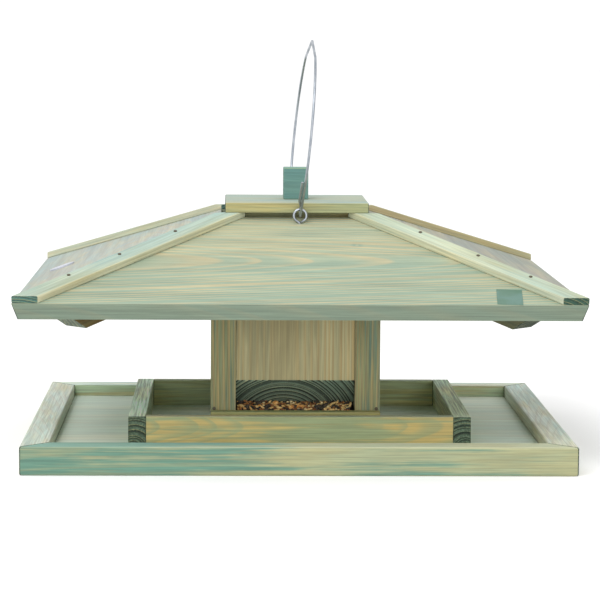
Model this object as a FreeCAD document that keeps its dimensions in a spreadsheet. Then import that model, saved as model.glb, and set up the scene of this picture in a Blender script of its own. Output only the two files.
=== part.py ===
import FreeCAD, Part
import math
import os
import re
import Sketcher

# A wooden hanging bird table: a tray with a smaller tray on it, a seed hopper on four posts,
# a four-sided roof, a lift-off ridge lid and a wire bail. Front is -Y, the ground is Z = 0.

Vector = FreeCAD.Vector
Rotation = FreeCAD.Rotation
Placement = FreeCAD.Placement

UP = Vector(0, 0, 1)
ALONG_X = Vector(1, 0, 0)

SIZES = [
    ("tray_length", 590, "outer tray, left to right"),
    ("tray_depth", 500, "outer tray, front to back"),
    ("tray_rail_width", 30, "outer tray rail, seen from above"),
    ("tray_rail_height", 31, "outer tray rail"),
    ("board_height", 18, "tray floor board"),
    ("inner_length", 374, "inner tray, left to right"),
    ("inner_offset", 2.4, "inner tray's middle, right of the outer tray's"),
    ("inner_depth", 303, "inner tray, front to back"),
    ("inner_rail_height", 30.4, "inner tray rails"),
    ("end_rail_width", 19.2, "inner tray end rails"),
    ("long_rail_width", 13, "inner tray front and back rails"),
    ("hopper_half_length", 93, "hopper's middle to the posts' outer faces"),
    ("hopper_offset", -2, "hopper's middle, right of the outer tray's"),
    ("hopper_half_depth", 124, "centre to the posts' front faces"),
    ("post_size", 27.5, "square post"),
    ("wall_thick", 28, "front and back hopper boards"),
    ("wall_recess", 3, "boards behind the posts' front faces"),
    ("wall_bottom", 84, "front lower edge of the bevelled boards"),
    ("side_wall_thick", 18, "side hopper boards"),
    ("sill_width", 14.5, "sill strips at the posts' feet"),
    ("sill_top", 51.4, "top of the sill strips"),
    ("seed_gap", 0.3, "seed clear of the boards"),
    ("seed_low", 48, "seed behind the sills"),
    ("seed_mid", 54, "seed under the bevelled boards"),
    ("seed_high", 135, "seed inside the hopper"),
    ("eave_half_length", 301.5, "centre to the side eaves"),
    ("eave_half_depth", 262.5, "centre to the front eaves"),
    ("eave_top", 183.3, "top edge of the eaves"),
    ("ridge_half_length", 84.5, "centre to the side panels' top edges"),
    ("ridge_half_depth", 60, "centre to the front panel's top edge"),
    ("ridge_top", 259.7, "top edge of the panels"),
    ("panel_thick", 19, "roof boards"),
    ("cut_spare", 5, "how far a cutting outline runs past the wood"),
    ("batten_width", 19.4, "hip battens"),
    ("batten_thick", 8.5, "hip battens"),
    ("rafter_width", 34, "hip rafters"),
    ("rafter_deep", 28, "hip rafters"),
    ("rafter_start", 87.6, "roof corner to the rafter's lower corner, in plan"),
    ("lid_length", 160, "ridge lid"),
    ("lid_depth", 140, "ridge lid"),
    ("lid_thick", 11.4, "ridge lid"),
    ("lid_bottom", 264.9, "underside of the lid"),
    ("knob_size", 28.2, "square knob block"),
    ("knob_height", 35.7, "knob block"),
    ("cleat_length", 116, "locating cleats under the lid"),
    ("cleat_width", 16, "locating cleats under the lid"),
    ("cleat_height", 11, "locating cleats under the lid"),
    ("cleat_reach", 50, "centre to the cleats' outer faces"),
    ("eye_reach", 76, "centre to each screw eye, along the bail's axis"),
    ("eye_height", 262.3, "centre of the rings"),
    ("eye_radius", 6.95, "ring, to the middle of its wire"),
    ("eye_wire", 2.9, "ring wire"),
    ("shank_length", 12, "screw eye shank in the roof"),
    ("axis_turn", 3.2, "degrees that the two eyes are out of line with Y"),
    ("axis_offset", -1, "middle of the line between the eyes, along X"),
    ("bail_wire", 2.9, "bail wire"),
    ("bail_rise", 194, "ring centres to the bail's peak"),
    ("bail_lean", 5.6, "degrees that the bail leans to +X at rest"),
    ("leg_splay", 32, "degrees that the lower legs splay"),
    ("hook_radius", 3.6, "hook bend round the ring"),
    ("hook_lift", 3, "hook bend's centre above the ring's centre"),
    ("hook_return", 11, "height at which the tail crosses above the ring"),
    ("cross_rise", 5.5, "height that the tail gains as it crosses to the leg's side"),
    ("cross_bend", 2.5, "bend at the start of the crossing"),
    ("tail_bend", 4, "bend at the end of the crossing"),
    ("strand_gap", 3.4, "leg to tail, middle to middle"),
    ("tail_turn", 8, "degrees of the hoop that the tail follows"),
    ("peak_angle", 40, "degrees from upright where the hoop runs straight to its knees"),
    ("knee_run", 11, "straight stretch below each knee"),
    ("knee_bend", 30, "bend at the knees"),
    ("peak_bend", 10, "bend at the peak"),
    ("nail_wire", 2.2, "nail shank"),
    ("nail_head", 3.8, "nail head"),
    ("head_thick", 0.7, "nail and screw heads"),
    ("nail_length", 24, "nails"),
    ("nail_inset", 5.2, "batten nails to the hip"),
    ("low_nail", 0.23, "share of the batten below its lowest nail"),
    ("middle_nail", 0.467, "share of the batten below its middle nail"),
    ("high_nail", 0.737, "share of the batten below its highest nail"),
    ("tray_nail_inset", 9, "tray nails from the rail's top and bottom"),
    ("screw_wire", 4, "floor screws"),
    ("screw_head", 8, "floor screws"),
    ("screw_length", 40, "floor screws"),
    ("knob_screw_length", 30, "screw up into the knob"),
    ("rail_screw_place", 0.7, "share of the half rail from its middle to its screws"),
    ("screw_sink", 0.3, "floor screw heads above the underside"),
    ("label_length", 27, "blank label"),
    ("label_width", 35, "blank label, up the slope"),
    ("label_thick", 0.5, "blank label"),
    ("label_start", 205, "centre of the eave to the label's left edge"),
    ("label_lift", 1.5, "eave to the label's lower left corner"),
    ("label_turn", -3, "degrees that the label is out of square"),
    ("tag_size", 29, "blank round tag"),
    ("tag_thick", 1.6, "blank round tag"),
    ("tag_back", 13.8, "tag behind the middle of the left eave"),
    ("tag_rise", 37.5, "side eave to the tag, up the slope"),
]

doc = FreeCAD.newDocument("HangingBirdTable")
sheet = doc.addObject("Spreadsheet::Sheet", "Sizes")
for row, (alias, number, note) in enumerate(SIZES, start=1):
    sheet.set("A%d" % row, note)
    sheet.set("B%d" % row, str(number))
    sheet.setAlias("B%d" % row, alias)
doc.recompute()

ALIASES = re.compile(r"\b(%s)\b" % "|".join(alias for alias, number, note in SIZES))
parts = []


def size(alias):
    return float(sheet.get(alias))


def bound(text):
    """An expression on the sheet's aliases, as FreeCAD reads it."""
    return ALIASES.sub(r"Sizes.\1", text)


def keep(piece, label, place=None):
    """Names a finished sub-part and puts it in its place."""
    piece.Label = label
    if place is not None:
        piece.Placement = place
    parts.append(piece)
    return piece


def at(x, y, z, turn=0, tilt=0):
    """A place: tilted about its own X, then turned about Z, then moved."""
    return Placement(Vector(x, y, z), Rotation(UP, turn) * Rotation(ALONG_X, tilt))


def makeBox(label, length, width, height, place):
    box = doc.addObject("Part::Box", label + "_box")
    box.setExpression("Length", bound(length))
    box.setExpression("Width", bound(width))
    box.setExpression("Height", bound(height))
    return keep(box, label, place)


def pin(sketch, index, kind, text):
    """Holds one corner of an outline at a distance from the sketch's origin."""
    if text == "0":
        axis = -2 if kind == "DistanceX" else -1
        sketch.addConstraint(Sketcher.Constraint("PointOnObject", index, 1, axis))
        return
    negative = text.startswith("-")
    ends = (index, 1, -1, 1) if negative else (-1, 1, index, 1)
    number = sketch.addConstraint(Sketcher.Constraint(kind, *ends, 10.0 + index))
    sketch.setExpression("Constraints[%d]" % number, bound(text[1:] if negative else text))


def addOutline(body, name, plane, corners, lift=None):
    """A closed outline of straight lines on one of the body's own origin planes."""
    sketch = body.newObject("Sketcher::SketchObject", name)
    base = [one for one in body.Origin.OriginFeatures if one.Role == plane][0]
    sketch.AttachmentSupport = [(base, "")]
    sketch.MapMode = "FlatFace"
    if lift is not None:
        sketch.setExpression("AttachmentOffset.Base.z", bound(lift))
    count = len(corners)
    circle = [Vector(math.cos(math.tau * n / count), math.sin(math.tau * n / count), 0)
              for n in range(count)]
    for index in range(count):
        sketch.addGeometry(Part.LineSegment(circle[index], circle[(index + 1) % count]), False)
    for index in range(count):
        sketch.addConstraint(
            Sketcher.Constraint("Coincident", index, 2, (index + 1) % count, 1))
    for index, (across, along) in enumerate(corners):
        pin(sketch, index, "DistanceX", across)
        pin(sketch, index, "DistanceY", along)
    return sketch


def newBody(label):
    return doc.addObject("PartDesign::Body", label + "_body")


def addPad(body, outline, thickness, middle=False):
    pad = body.newObject("PartDesign::Pad", "Pad")
    pad.Profile = outline
    pad.setExpression("Length", bound(thickness))
    if middle:
        pad.SideType = "Symmetric"
    return pad


def cutThrough(body, outline):
    """Cuts an outline right through the body, both ways, and makes sure that it cut."""
    doc.recompute()
    before = body.Shape.Volume
    pocket = body.newObject("PartDesign::Pocket", "Pocket")
    pocket.Profile = outline
    pocket.SideType = "Symmetric"
    pocket.Type = "ThroughAll"
    doc.recompute()
    if body.Shape.Volume > before - 1:
        raise RuntimeError("the cut removed nothing from " + body.Name)


def makePrism(label, plane, corners, thickness, place, middle=False):
    body = newBody(label)
    addPad(body, addOutline(body, "Outline", plane, corners), thickness, middle)
    return keep(body, label, place)


# Roof geometry as expressions: pitches, slope lengths and the level of the undersides.
ROOF_RISE = "(ridge_top - eave_top)"
FRONT_RUN = "(eave_half_depth - ridge_half_depth)"
SIDE_RUN = "(eave_half_length - ridge_half_length)"
FRONT_PITCH = "atan(%s / %s)" % (ROOF_RISE, FRONT_RUN)
SIDE_PITCH = "atan(%s / %s)" % (ROOF_RISE, SIDE_RUN)

frontRun = size("eave_half_depth") - size("ridge_half_depth")
sideRun = size("eave_half_length") - size("ridge_half_length")
roofRise = size("ridge_top") - size("eave_top")
frontPitch = math.degrees(math.atan2(roofRise, frontRun))
sidePitch = math.degrees(math.atan2(roofRise, sideRun))
hipPlanAngle = math.degrees(math.atan2(frontRun, sideRun))


def underFront(reach):
    """Underside of the front or back panel, at a distance from the middle of the roof."""
    return "(eave_top - panel_thick / cos(%s) + (eave_half_depth - (%s)) * tan(%s))" % (
        FRONT_PITCH, reach, FRONT_PITCH)


def underSide(reach):
    """Underside of a side panel, at a distance from the middle of the roof."""
    return "(eave_top - panel_thick / cos(%s) + (eave_half_length - (%s)) * tan(%s))" % (
        SIDE_PITCH, reach, SIDE_PITCH)


def sideFace(side):
    """Middle of the roof to a side board's outer face; side is -1 at the left and +1 at the right."""
    sign = "-" if side < 0 else "+"
    return "(hopper_half_length - post_size + side_wall_thick %s hopper_offset)" % sign


def makeTray():
    """Four mitred rails round a flat floor board."""
    halfLength = size("tray_length") / 2
    halfDepth = size("tray_depth") / 2
    rails = [
        ("tray_front_rail", "tray_length", -halfLength, -halfDepth, 0),
        ("tray_right_rail", "tray_depth", halfLength, -halfDepth, 90),
        ("tray_back_rail", "tray_length", halfLength, halfDepth, 180),
        ("tray_left_rail", "tray_depth", -halfLength, halfDepth, 270),
    ]
    for label, length, x, y, turn in rails:
        corners = [("0", "0"), (length, "0"), (length + " - tray_rail_width", "tray_rail_width"),
                   ("tray_rail_width", "tray_rail_width")]
        makePrism(label, "XY_Plane", corners, "tray_rail_height", at(x, y, 0, turn))
    inset = size("tray_rail_width")
    makeBox("tray_floor", "tray_length - 2 * tray_rail_width",
            "tray_depth - 2 * tray_rail_width", "board_height",
            at(inset - halfLength, inset - halfDepth, 0))


def makeInnerTray():
    """End rails that run the full depth, with the front and back rails between them."""
    halfLength = size("inner_length") / 2
    halfDepth = size("inner_depth") / 2
    level = size("board_height")
    middle = size("inner_offset")
    for label, x in (("inner_left_rail", -halfLength),
                     ("inner_right_rail", halfLength - size("end_rail_width"))):
        makeBox(label, "end_rail_width", "inner_depth", "inner_rail_height",
                at(middle + x, -halfDepth, level))
    for label, y in (("inner_front_rail", -halfDepth),
                     ("inner_back_rail", halfDepth - size("long_rail_width"))):
        makeBox(label, "inner_length - 2 * end_rail_width", "long_rail_width",
                "inner_rail_height", at(middle + size("end_rail_width") - halfLength, y, level))


def makeHopper():
    """Posts, boards and sills; each tall piece is cut to the slope of the roof above it."""
    reachX = size("hopper_half_length")
    reachY = size("hopper_half_depth")
    post = size("post_size")
    level = size("board_height")
    middle = size("hopper_offset")

    postTop = [underFront("hopper_half_depth") + " - board_height",
               underFront("hopper_half_depth - post_size") + " - board_height"]
    postOutline = [("0", "0"), ("post_size", "0"), ("post_size", postTop[1]), ("0", postTop[0])]
    for label, x, y, turn in (("front_left_post", -reachX, -reachY, 0),
                              ("front_right_post", reachX - post, -reachY, 0),
                              ("back_left_post", post - reachX, reachY, 180),
                              ("back_right_post", reachX, reachY, 180)):
        makePrism(label, "YZ_Plane", postOutline, "post_size", at(middle + x, y, level, turn))

    wallFront = "hopper_half_depth - wall_recess"
    wallOutline = [("0", "wall_bottom"), ("wall_thick", "wall_bottom - wall_thick"),
                   ("wall_thick", underFront(wallFront + " - wall_thick")),
                   ("0", underFront(wallFront))]
    inside = reachX - post
    wallY = reachY - size("wall_recess")
    makePrism("hopper_front_board", "YZ_Plane", wallOutline,
              "2 * (hopper_half_length - post_size)", at(middle - inside, -wallY, 0))
    makePrism("hopper_back_board", "YZ_Plane", wallOutline,
              "2 * (hopper_half_length - post_size)", at(middle + inside, wallY, 0, 180))

    halfSide = "hopper_half_depth - post_size"
    shoulder = underFront(halfSide) + " - board_height"
    for label, side, x in (("hopper_left_board", -1, -inside - size("side_wall_thick")),
                           ("hopper_right_board", 1, inside)):
        crest = underSide(sideFace(side)) + " - board_height"
        flat = "(eave_half_depth - (%s - eave_top + panel_thick / cos(%s)) / tan(%s))" % (
            underSide(sideFace(side)), FRONT_PITCH, FRONT_PITCH)
        sideOutline = [("-(%s)" % halfSide, "0"), (halfSide, "0"), (halfSide, shoulder),
                       (flat, crest), ("-" + flat, crest), ("-(%s)" % halfSide, shoulder)]
        makePrism(label, "YZ_Plane", sideOutline, "side_wall_thick", at(middle + x, 0, level))

    for label, y in (("front_sill", -reachY - size("sill_width")), ("back_sill", reachY)):
        makeBox(label, "2 * hopper_half_length", "sill_width", "sill_top - board_height",
                at(middle - reachX, y, level))

    outer = "hopper_half_depth - seed_gap"
    inner = "hopper_half_depth - wall_recess - wall_thick - seed_gap"
    seedOutline = [("-(%s)" % outer, "board_height"), (outer, "board_height"), (outer, "seed_low"),
                   (inner, "seed_mid"), (inner, "seed_high"), ("-(%s)" % inner, "seed_high"),
                   ("-(%s)" % inner, "seed_mid"), ("-(%s)" % outer, "seed_low")]
    gap = size("seed_gap")
    makePrism("seed_fill", "YZ_Plane", seedOutline,
              "2 * (hopper_half_length - post_size - seed_gap)", at(middle + gap - inside, 0, 0))


def makePanel(label, halfEave, halfRidge, run, pitch, otherPitch, place):
    """A roof board: square edges at the eave and the top, hip edges cut to meet the next."""
    slope = "%s / cos(%s)" % (run, pitch)
    inset = "panel_thick * (1 / cos(%s) - cos(%s)) / tan(%s)" % (otherPitch, pitch, otherPitch)
    body = newBody(label)
    outlines = []
    for name, cut, lift in (("Top", "0", None), ("Bottom", inset, "-panel_thick")):
        eave = "(%s - %s)" % (halfEave, cut)
        ridge = "(%s - %s)" % (halfRidge, cut)
        corners = [("-" + eave, "0"), (eave, "0"), (ridge, slope), ("-" + ridge, slope)]
        outlines.append(addOutline(body, name, "XY_Plane", corners, lift))
    loft = body.newObject("PartDesign::AdditiveLoft", "Loft")
    loft.Profile = outlines[0]
    loft.Sections = [outlines[1]]
    loft.Ruled = True
    keep(body, label, place)


def makeBatten(label, side, place):
    """A flat strip nailed along the hip edge of the front or back panel.

    side is -1 at the left end of the panel and +1 at its right end. The upper end is
    planed level, which makes the lid's seat.
    """
    slope = "%s / cos(%s)" % (FRONT_RUN, FRONT_PITCH)
    across = "batten_width / sin(atan(%s / (%s)))" % (slope, SIDE_RUN)
    sign = "-" if side < 0 else ""
    corners = [(sign + "(eave_half_length)", "0"),
               (sign + "(eave_half_length - %s)" % across, "0"),
               (sign + "(ridge_half_length - %s)" % across, slope),
               (sign + "(ridge_half_length)", slope)]
    body = newBody(label)
    addPad(body, addOutline(body, "Outline", "XY_Plane", corners), "batten_thick")
    above = "(batten_thick + cut_spare)"
    beyond = "(%s + cut_spare)" % slope
    seatStart = "((lid_bottom - eave_top - %s * cos(%s)) / sin(%s))" % (
        above, FRONT_PITCH, FRONT_PITCH)
    seatEnd = "(lid_bottom - eave_top - %s * sin(%s)) / cos(%s)" % (
        beyond, FRONT_PITCH, FRONT_PITCH)
    seat = [(seatStart, above), (beyond, seatEnd), (beyond, above)]
    cutThrough(body, addOutline(body, "Seat", "YZ_Plane", seat))
    keep(body, label, place)


def below(text):
    """An outline corner under its origin, from an expression whose value is negative."""
    return "-(0 - %s)" % text


def makeRafter(label, end, side, place):
    """A hip rafter: cut at 45 degrees at its lower end, and to the hopper at its upper end.

    end is -1 for the hopper's left board and +1 for its right one. side is +1 where the cut at
    the upper end goes further on the rafter's left, seen from its lower end, and -1 for its right.
    """
    run = "sqrt(%s ^ 2 + %s ^ 2)" % (FRONT_RUN, SIDE_RUN)
    pitch = "atan(%s / %s)" % (ROOF_RISE, run)
    plan = "atan(%s / %s)" % (FRONT_RUN, SIDE_RUN)
    drop = "(panel_thick / cos(%s) + rafter_width / 2 * cos(%s) * tan(%s))" % (
        FRONT_PITCH, plan, FRONT_PITCH)
    lowZ = "(rafter_start * tan(%s) - %s - rafter_deep / cos(%s))" % (pitch, drop, pitch)
    tipS = "(rafter_start - rafter_deep * (sin(%s) + cos(%s)))" % (pitch, pitch)
    tipZ = "(%s + rafter_deep * (cos(%s) - sin(%s)))" % (lowZ, pitch, pitch)
    half = "rafter_width / 2 * sin(%s)" % plan
    near = "((eave_half_length - %s - %s) / cos(%s))" % (sideFace(end), half, plan)
    far = "((eave_half_length - %s + %s) / cos(%s))" % (sideFace(end), half, plan)
    farLow = "(%s * tan(%s) - %s - rafter_deep / cos(%s))" % (far, pitch, drop, pitch)
    farHigh = "(%s * tan(%s) - %s)" % (far, pitch, drop)
    corners = [("rafter_start", below(lowZ)), (far, farLow), (far, farHigh), (tipS, below(tipZ))]
    body = newBody(label)
    addPad(body, addOutline(body, "Outline", "XZ_Plane", corners), "rafter_width", True)
    wide = "(rafter_width / 2)"
    past = far + " + cut_spare"
    sign, other = ("", "-") if side > 0 else ("-", "")
    trim = [(near, other + wide), (past, other + wide), (past, sign + wide), (far, sign + wide)]
    cutThrough(body, addOutline(body, "Trim", "XY_Plane", trim))
    keep(body, label, place)


def makeRoof():
    ew = size("eave_half_length")
    ed = size("eave_half_depth")
    ez = size("eave_top")
    front = at(0, -ed, ez, 0, frontPitch)
    back = at(0, ed, ez, 180, frontPitch)
    for label, place in (("roof_front_panel", front), ("roof_back_panel", back)):
        makePanel(label, "eave_half_length", "ridge_half_length", FRONT_RUN, FRONT_PITCH,
                  SIDE_PITCH, place)
    for label, x, turn in (("roof_left_panel", -ew, -90), ("roof_right_panel", ew, 90)):
        makePanel(label, "eave_half_depth", "ridge_half_depth", SIDE_RUN, SIDE_PITCH,
                  FRONT_PITCH, at(x, 0, ez, turn, sidePitch))
    makeBatten("front_left_batten", -1, front)
    makeBatten("front_right_batten", 1, front)
    makeBatten("back_right_batten", -1, back)
    makeBatten("back_left_batten", 1, back)
    makeRafter("front_left_rafter", -1, 1, at(-ew, -ed, ez, hipPlanAngle))
    makeRafter("front_right_rafter", 1, -1, at(ew, -ed, ez, 180 - hipPlanAngle))
    makeRafter("back_right_rafter", 1, 1, at(ew, ed, ez, 180 + hipPlanAngle))
    makeRafter("back_left_rafter", -1, -1, at(-ew, ed, ez, -hipPlanAngle))


def makeLid():
    """The ridge board with its knob on top and two cleats that sit inside the roof's opening."""
    length = size("lid_length")
    depth = size("lid_depth")
    bottom = size("lid_bottom")
    top = bottom + size("lid_thick")
    knob = size("knob_size")
    makeBox("lid_board", "lid_length", "lid_depth", "lid_thick",
            at(-length / 2, -depth / 2, bottom))
    makeBox("lid_knob", "knob_size", "knob_size", "knob_height", at(-knob / 2, -knob / 2, top))
    reach = size("cleat_reach")
    low = bottom - size("cleat_height")
    for label, y in (("lid_front_cleat", -reach),
                     ("lid_back_cleat", reach - size("cleat_width"))):
        makeBox(label, "cleat_length", "cleat_width", "cleat_height",
                at(-size("cleat_length") / 2, y, low))


bailOrigin = Vector(size("axis_offset"), 0, size("eye_height"))


def makeEyes():
    """Two screw eyes, each a ring of wire standing on a shank that goes down into the roof."""
    turn = size("axis_turn")
    axis = Rotation(UP, turn).multVec(Vector(0, 1, 0))
    for label, way in (("front_screw_eye", -1), ("back_screw_eye", 1)):
        middle = axis * (way * size("eye_reach")) + bailOrigin
        ring = doc.addObject("Part::Torus", label + "_ring")
        ring.setExpression("Radius1", bound("eye_radius"))
        ring.setExpression("Radius2", bound("eye_wire / 2"))
        ring.Placement = Placement(middle, Rotation(UP, turn) * Rotation(ALONG_X, 90))
        shank = doc.addObject("Part::Cylinder", label + "_shank")
        shank.setExpression("Radius", bound("eye_wire / 2"))
        shank.setExpression("Height", bound("shank_length + eye_wire / 2"))
        depth = size("eye_radius") + size("eye_wire") / 2 + size("shank_length")
        shank.Placement = Placement(middle - UP * depth, Rotation())
        eye = doc.addObject("Part::MultiFuse", label + "_eye")
        eye.Shapes = [ring, shank]
        keep(eye, label)


def mirrored(edges):
    """The same edges on the other side of the XZ plane, in the opposite order."""
    mirror = FreeCAD.Matrix(1, 0, 0, 0, 0, -1, 0, 0, 0, 0, 1, 0, 0, 0, 0, 1)
    return [edge.transformGeometry(mirror) for edge in reversed(edges)]


def bailPath():
    """The bail's middle line, with its legs in the YZ plane and the rings' axis at Z = 0.

    From each end: a tail on the leg's -X side, across above the ring, down and round in the
    hook, up the straight splayed leg, the hoop, a knee, and a straight run to the peak.
    """
    splay = math.radians(size("leg_splay"))
    outward = Vector(0, -math.cos(splay), -math.sin(splay))
    along = Vector(0, -math.sin(splay), math.cos(splay))
    aside = ALONG_X * -size("strand_gap")
    bend = size("hook_radius")
    hook = Vector(0, -size("eye_reach"), size("hook_lift"))
    foot = hook + outward * bend
    # The hoop's centre is on Z, at R below the peak, and the leg's line is R away from it.
    hoopZ = (size("bail_rise") - foot.dot(outward)) / (1 + math.sin(splay))
    hoop = size("bail_rise") - hoopZ
    centre = UP * hoopZ
    shoulder = centre + outward * hoop

    inside = hook + Vector(0, bend, 0)
    corner = Vector(0, inside.y, size("hook_return"))
    climb = corner.z + size("cross_rise") - foot.z
    joint = foot + along * (climb / along.z) + aside
    tail = [shoulder - centre]
    for share in (0.5, 1):
        turn = Rotation(ALONG_X, -size("tail_turn") * share)
        tail.append(turn.multVec(tail[0]))
    tailTop, tailMiddle, tailEnd = [centre + aside + spoke for spoke in tail]
    half = [Part.Arc(tailEnd, tailMiddle, tailTop).toShape()]
    half += roundedRun([tailTop, joint, corner, inside], [size("tail_bend"), size("cross_bend")])
    half.append(Part.Arc(inside, hook - UP * bend, foot).toShape())
    half.append(Part.LineSegment(foot, shoulder).toShape())

    lean = math.radians(size("peak_angle"))
    leave = centre + Vector(0, -math.sin(lean), math.cos(lean)) * hoop
    knee = leave + Vector(0, math.cos(lean), math.sin(lean)) * size("knee_run")
    peak = UP * size("bail_rise")
    side = centre + Vector(0, -hoop, 0)
    half.append(Part.Arc(shoulder, side, leave).toShape())
    top = roundedRun([leave, knee, peak, Vector(0, -knee.y, knee.z), Vector(0, -leave.y, leave.z)],
                     [size("knee_bend"), size("peak_bend"), size("knee_bend")])
    return Part.Wire(half + top + mirrored(half)), tailEnd


def roundedRun(points, radii):
    """Straight runs between points, with an arc of the given radius at each inner point."""
    edges = []
    start = points[0]
    for index, radius in enumerate(radii, start=1):
        before = (points[index - 1] - points[index]).normalize()
        after = (points[index + 1] - points[index]).normalize()
        half = before.getAngle(after) / 2
        cut = radius / math.tan(half)
        entry = points[index] + before * cut
        leave = points[index] + after * cut
        bisector = (before + after).normalize()
        middle = points[index] + bisector * (radius / math.sin(half) - radius)
        edges.append(Part.LineSegment(start, entry).toShape())
        edges.append(Part.Arc(entry, middle, leave).toShape())
        start = leave
    edges.append(Part.LineSegment(start, points[-1]).toShape())
    return edges


def makeBail():
    """One length of wire, swept along its path; its volume is checked against its length."""
    path, end = bailPath()
    radius = size("bail_wire") / 2
    direction = path.OrderedEdges[0].tangentAt(path.OrderedEdges[0].FirstParameter)
    circle = Part.Wire(Part.makeCircle(radius, end, direction))
    wire = path.makePipeShell([circle], True, False)
    expected = math.pi * radius ** 2 * path.Length
    if abs(wire.Volume / expected - 1) > 0.01:
        raise RuntimeError("the bail's volume is off: %g for %g" % (wire.Volume, expected))
    bail = doc.addObject("Part::Feature", "bail_shape")
    bail.Shape = wire
    lean = Rotation(Vector(0, 1, 0), size("bail_lean"))
    place = Placement(bailOrigin, Rotation(UP, size("axis_turn")) * lean)
    keep(bail, "bail_wire", place)
    print("bail: %.1f mm of wire" % path.Length)


def fastener(wire, head, length):
    """A nail or screw that points down, with the underside of its head at the origin."""
    shank = Part.makeCylinder(size(wire) / 2, length, UP * -length)
    return shank.fuse(Part.makeCylinder(size(head) / 2, size("head_thick")))


def makeGroup(label, shape, places):
    group = doc.addObject("Part::Feature", label + "_group")
    copies = []
    for place in places:
        copy = shape.copy()
        copy.Placement = place
        copies.append(copy)
    group.Shape = Part.makeCompound(copies)
    keep(group, label)


def makeFasteners():
    nail = fastener("nail_wire", "nail_head", size("nail_length"))
    slope = frontRun / math.cos(math.radians(frontPitch))
    hip = math.atan2(slope, sideRun)
    inset = size("nail_inset") / math.sin(hip)
    places = []
    for turn in (0, 180):
        panel = Placement(Vector(), Rotation(UP, turn)) * at(
            0, -size("eave_half_depth"), size("eave_top"), 0, frontPitch)
        for side in (-1, 1):
            for share in (size("low_nail"), size("middle_nail"), size("high_nail")):
                x = side * (size("eave_half_length") - inset - share * sideRun)
                spot = Vector(x, share * slope, size("batten_thick"))
                places.append(panel * Placement(spot, Rotation()))
    makeGroup("batten_nails", nail, places)

    places = []
    x = size("tray_length") / 2
    y = size("tray_depth") / 2 - size("tray_rail_width") / 2
    low = size("tray_nail_inset")
    for side in (-1, 1):
        for end in (-1, 1):
            for z in (low, size("tray_rail_height") - low):
                places.append(Placement(Vector(side * x, end * y, z),
                                        Rotation(Vector(0, 1, 0), 90 * side)))
    makeGroup("tray_nails", nail, places)

    places = []
    x = size("hopper_half_length") - size("nail_head")
    for side in (-1, 1):
        for end in (-1, 1):
            spot = Vector(size("hopper_offset") + side * x, end * size("hopper_half_depth"),
                          size("sill_top") + size("nail_head") / 2)
            places.append(Placement(spot, Rotation(ALONG_X, -90 * end)))
    makeGroup("post_nails", nail, places)

    screw = fastener("screw_wire", "screw_head", size("screw_length"))
    sunk = Rotation(ALONG_X, 180)
    postX = size("hopper_half_length") - size("post_size") / 2
    postY = size("hopper_half_depth") - size("post_size") / 2
    endX = size("inner_length") / 2 - size("end_rail_width") / 2
    longY = size("inner_depth") / 2 - size("long_rail_width") / 2
    share = size("rail_screw_place")
    spots = []
    for side in (-1, 1):
        for end in (-1, 1):
            spots.append((size("hopper_offset") + side * postX, end * postY))
            spots.append((size("inner_offset") + side * endX, end * longY * share))
            spots.append((size("inner_offset") + side * endX * share, end * longY))
    level = size("head_thick") + size("screw_sink")
    places = [Placement(Vector(x, y, level), sunk) for x, y in spots]
    makeGroup("floor_screws", screw, places)

    top = size("lid_bottom")
    makeGroup("knob_screw", fastener("screw_wire", "screw_head", size("knob_screw_length")),
              [Placement(Vector(0, 0, top), sunk)])


def makeTags():
    """A blank label near the right end of the front eave, and a round tag on the left panel."""
    front = at(0, -size("eave_half_depth"), size("eave_top"), 0, frontPitch)
    makeBox("blank_label", "label_length", "label_width", "label_thick",
            front * Placement(Vector(size("label_start"), size("label_lift"), 0),
                              Rotation(UP, size("label_turn"))))
    left = at(-size("eave_half_length"), 0, size("eave_top"), -90, sidePitch)
    tag = doc.addObject("Part::Cylinder", "tag_disc")
    tag.setExpression("Radius", bound("tag_size / 2"))
    tag.setExpression("Height", bound("tag_thick"))
    spot = Vector(-size("tag_back"), size("tag_rise"), 0)
    keep(tag, "round_tag", left * Placement(spot, Rotation()))


def writeParts():
    doc.recompute()
    for thing in doc.Objects:
        if "Invalid" in thing.State or "Error" in thing.State:
            raise RuntimeError("%s failed: %s" % (thing.Name, thing.State))
    os.makedirs("parts", exist_ok=True)
    for piece in parts:
        shape = piece.Shape
        if shape.isNull() or not shape.isValid():
            raise RuntimeError(piece.Label + " has no valid shape")
        shape.exportStep("parts/%s.step" % piece.Label)
    print("%d sub-parts written" % len(parts))


makeTray()
makeInnerTray()
makeHopper()
makeRoof()
makeLid()
makeEyes()
makeBail()
makeFasteners()
makeTags()
writeParts()
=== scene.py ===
import bpy
import bmesh
import math
import random
from mathutils import Matrix, Vector, noise


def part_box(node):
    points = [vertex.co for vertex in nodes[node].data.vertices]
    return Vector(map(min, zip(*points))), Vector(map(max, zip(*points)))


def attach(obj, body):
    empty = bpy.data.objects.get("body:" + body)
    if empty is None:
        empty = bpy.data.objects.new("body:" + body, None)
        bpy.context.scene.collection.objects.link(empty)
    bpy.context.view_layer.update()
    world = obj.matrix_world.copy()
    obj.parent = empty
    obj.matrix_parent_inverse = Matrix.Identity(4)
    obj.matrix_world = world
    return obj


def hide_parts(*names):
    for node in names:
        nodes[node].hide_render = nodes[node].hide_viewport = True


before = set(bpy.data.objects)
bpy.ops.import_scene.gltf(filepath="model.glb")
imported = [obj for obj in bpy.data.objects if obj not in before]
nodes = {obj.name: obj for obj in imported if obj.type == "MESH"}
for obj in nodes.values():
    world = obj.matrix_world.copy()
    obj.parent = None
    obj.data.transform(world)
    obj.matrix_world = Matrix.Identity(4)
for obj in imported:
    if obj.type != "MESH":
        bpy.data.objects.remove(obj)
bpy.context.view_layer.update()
scene = bpy.context.scene
scene.view_settings.view_transform = "Standard"  # plain colours, nothing graded
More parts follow.
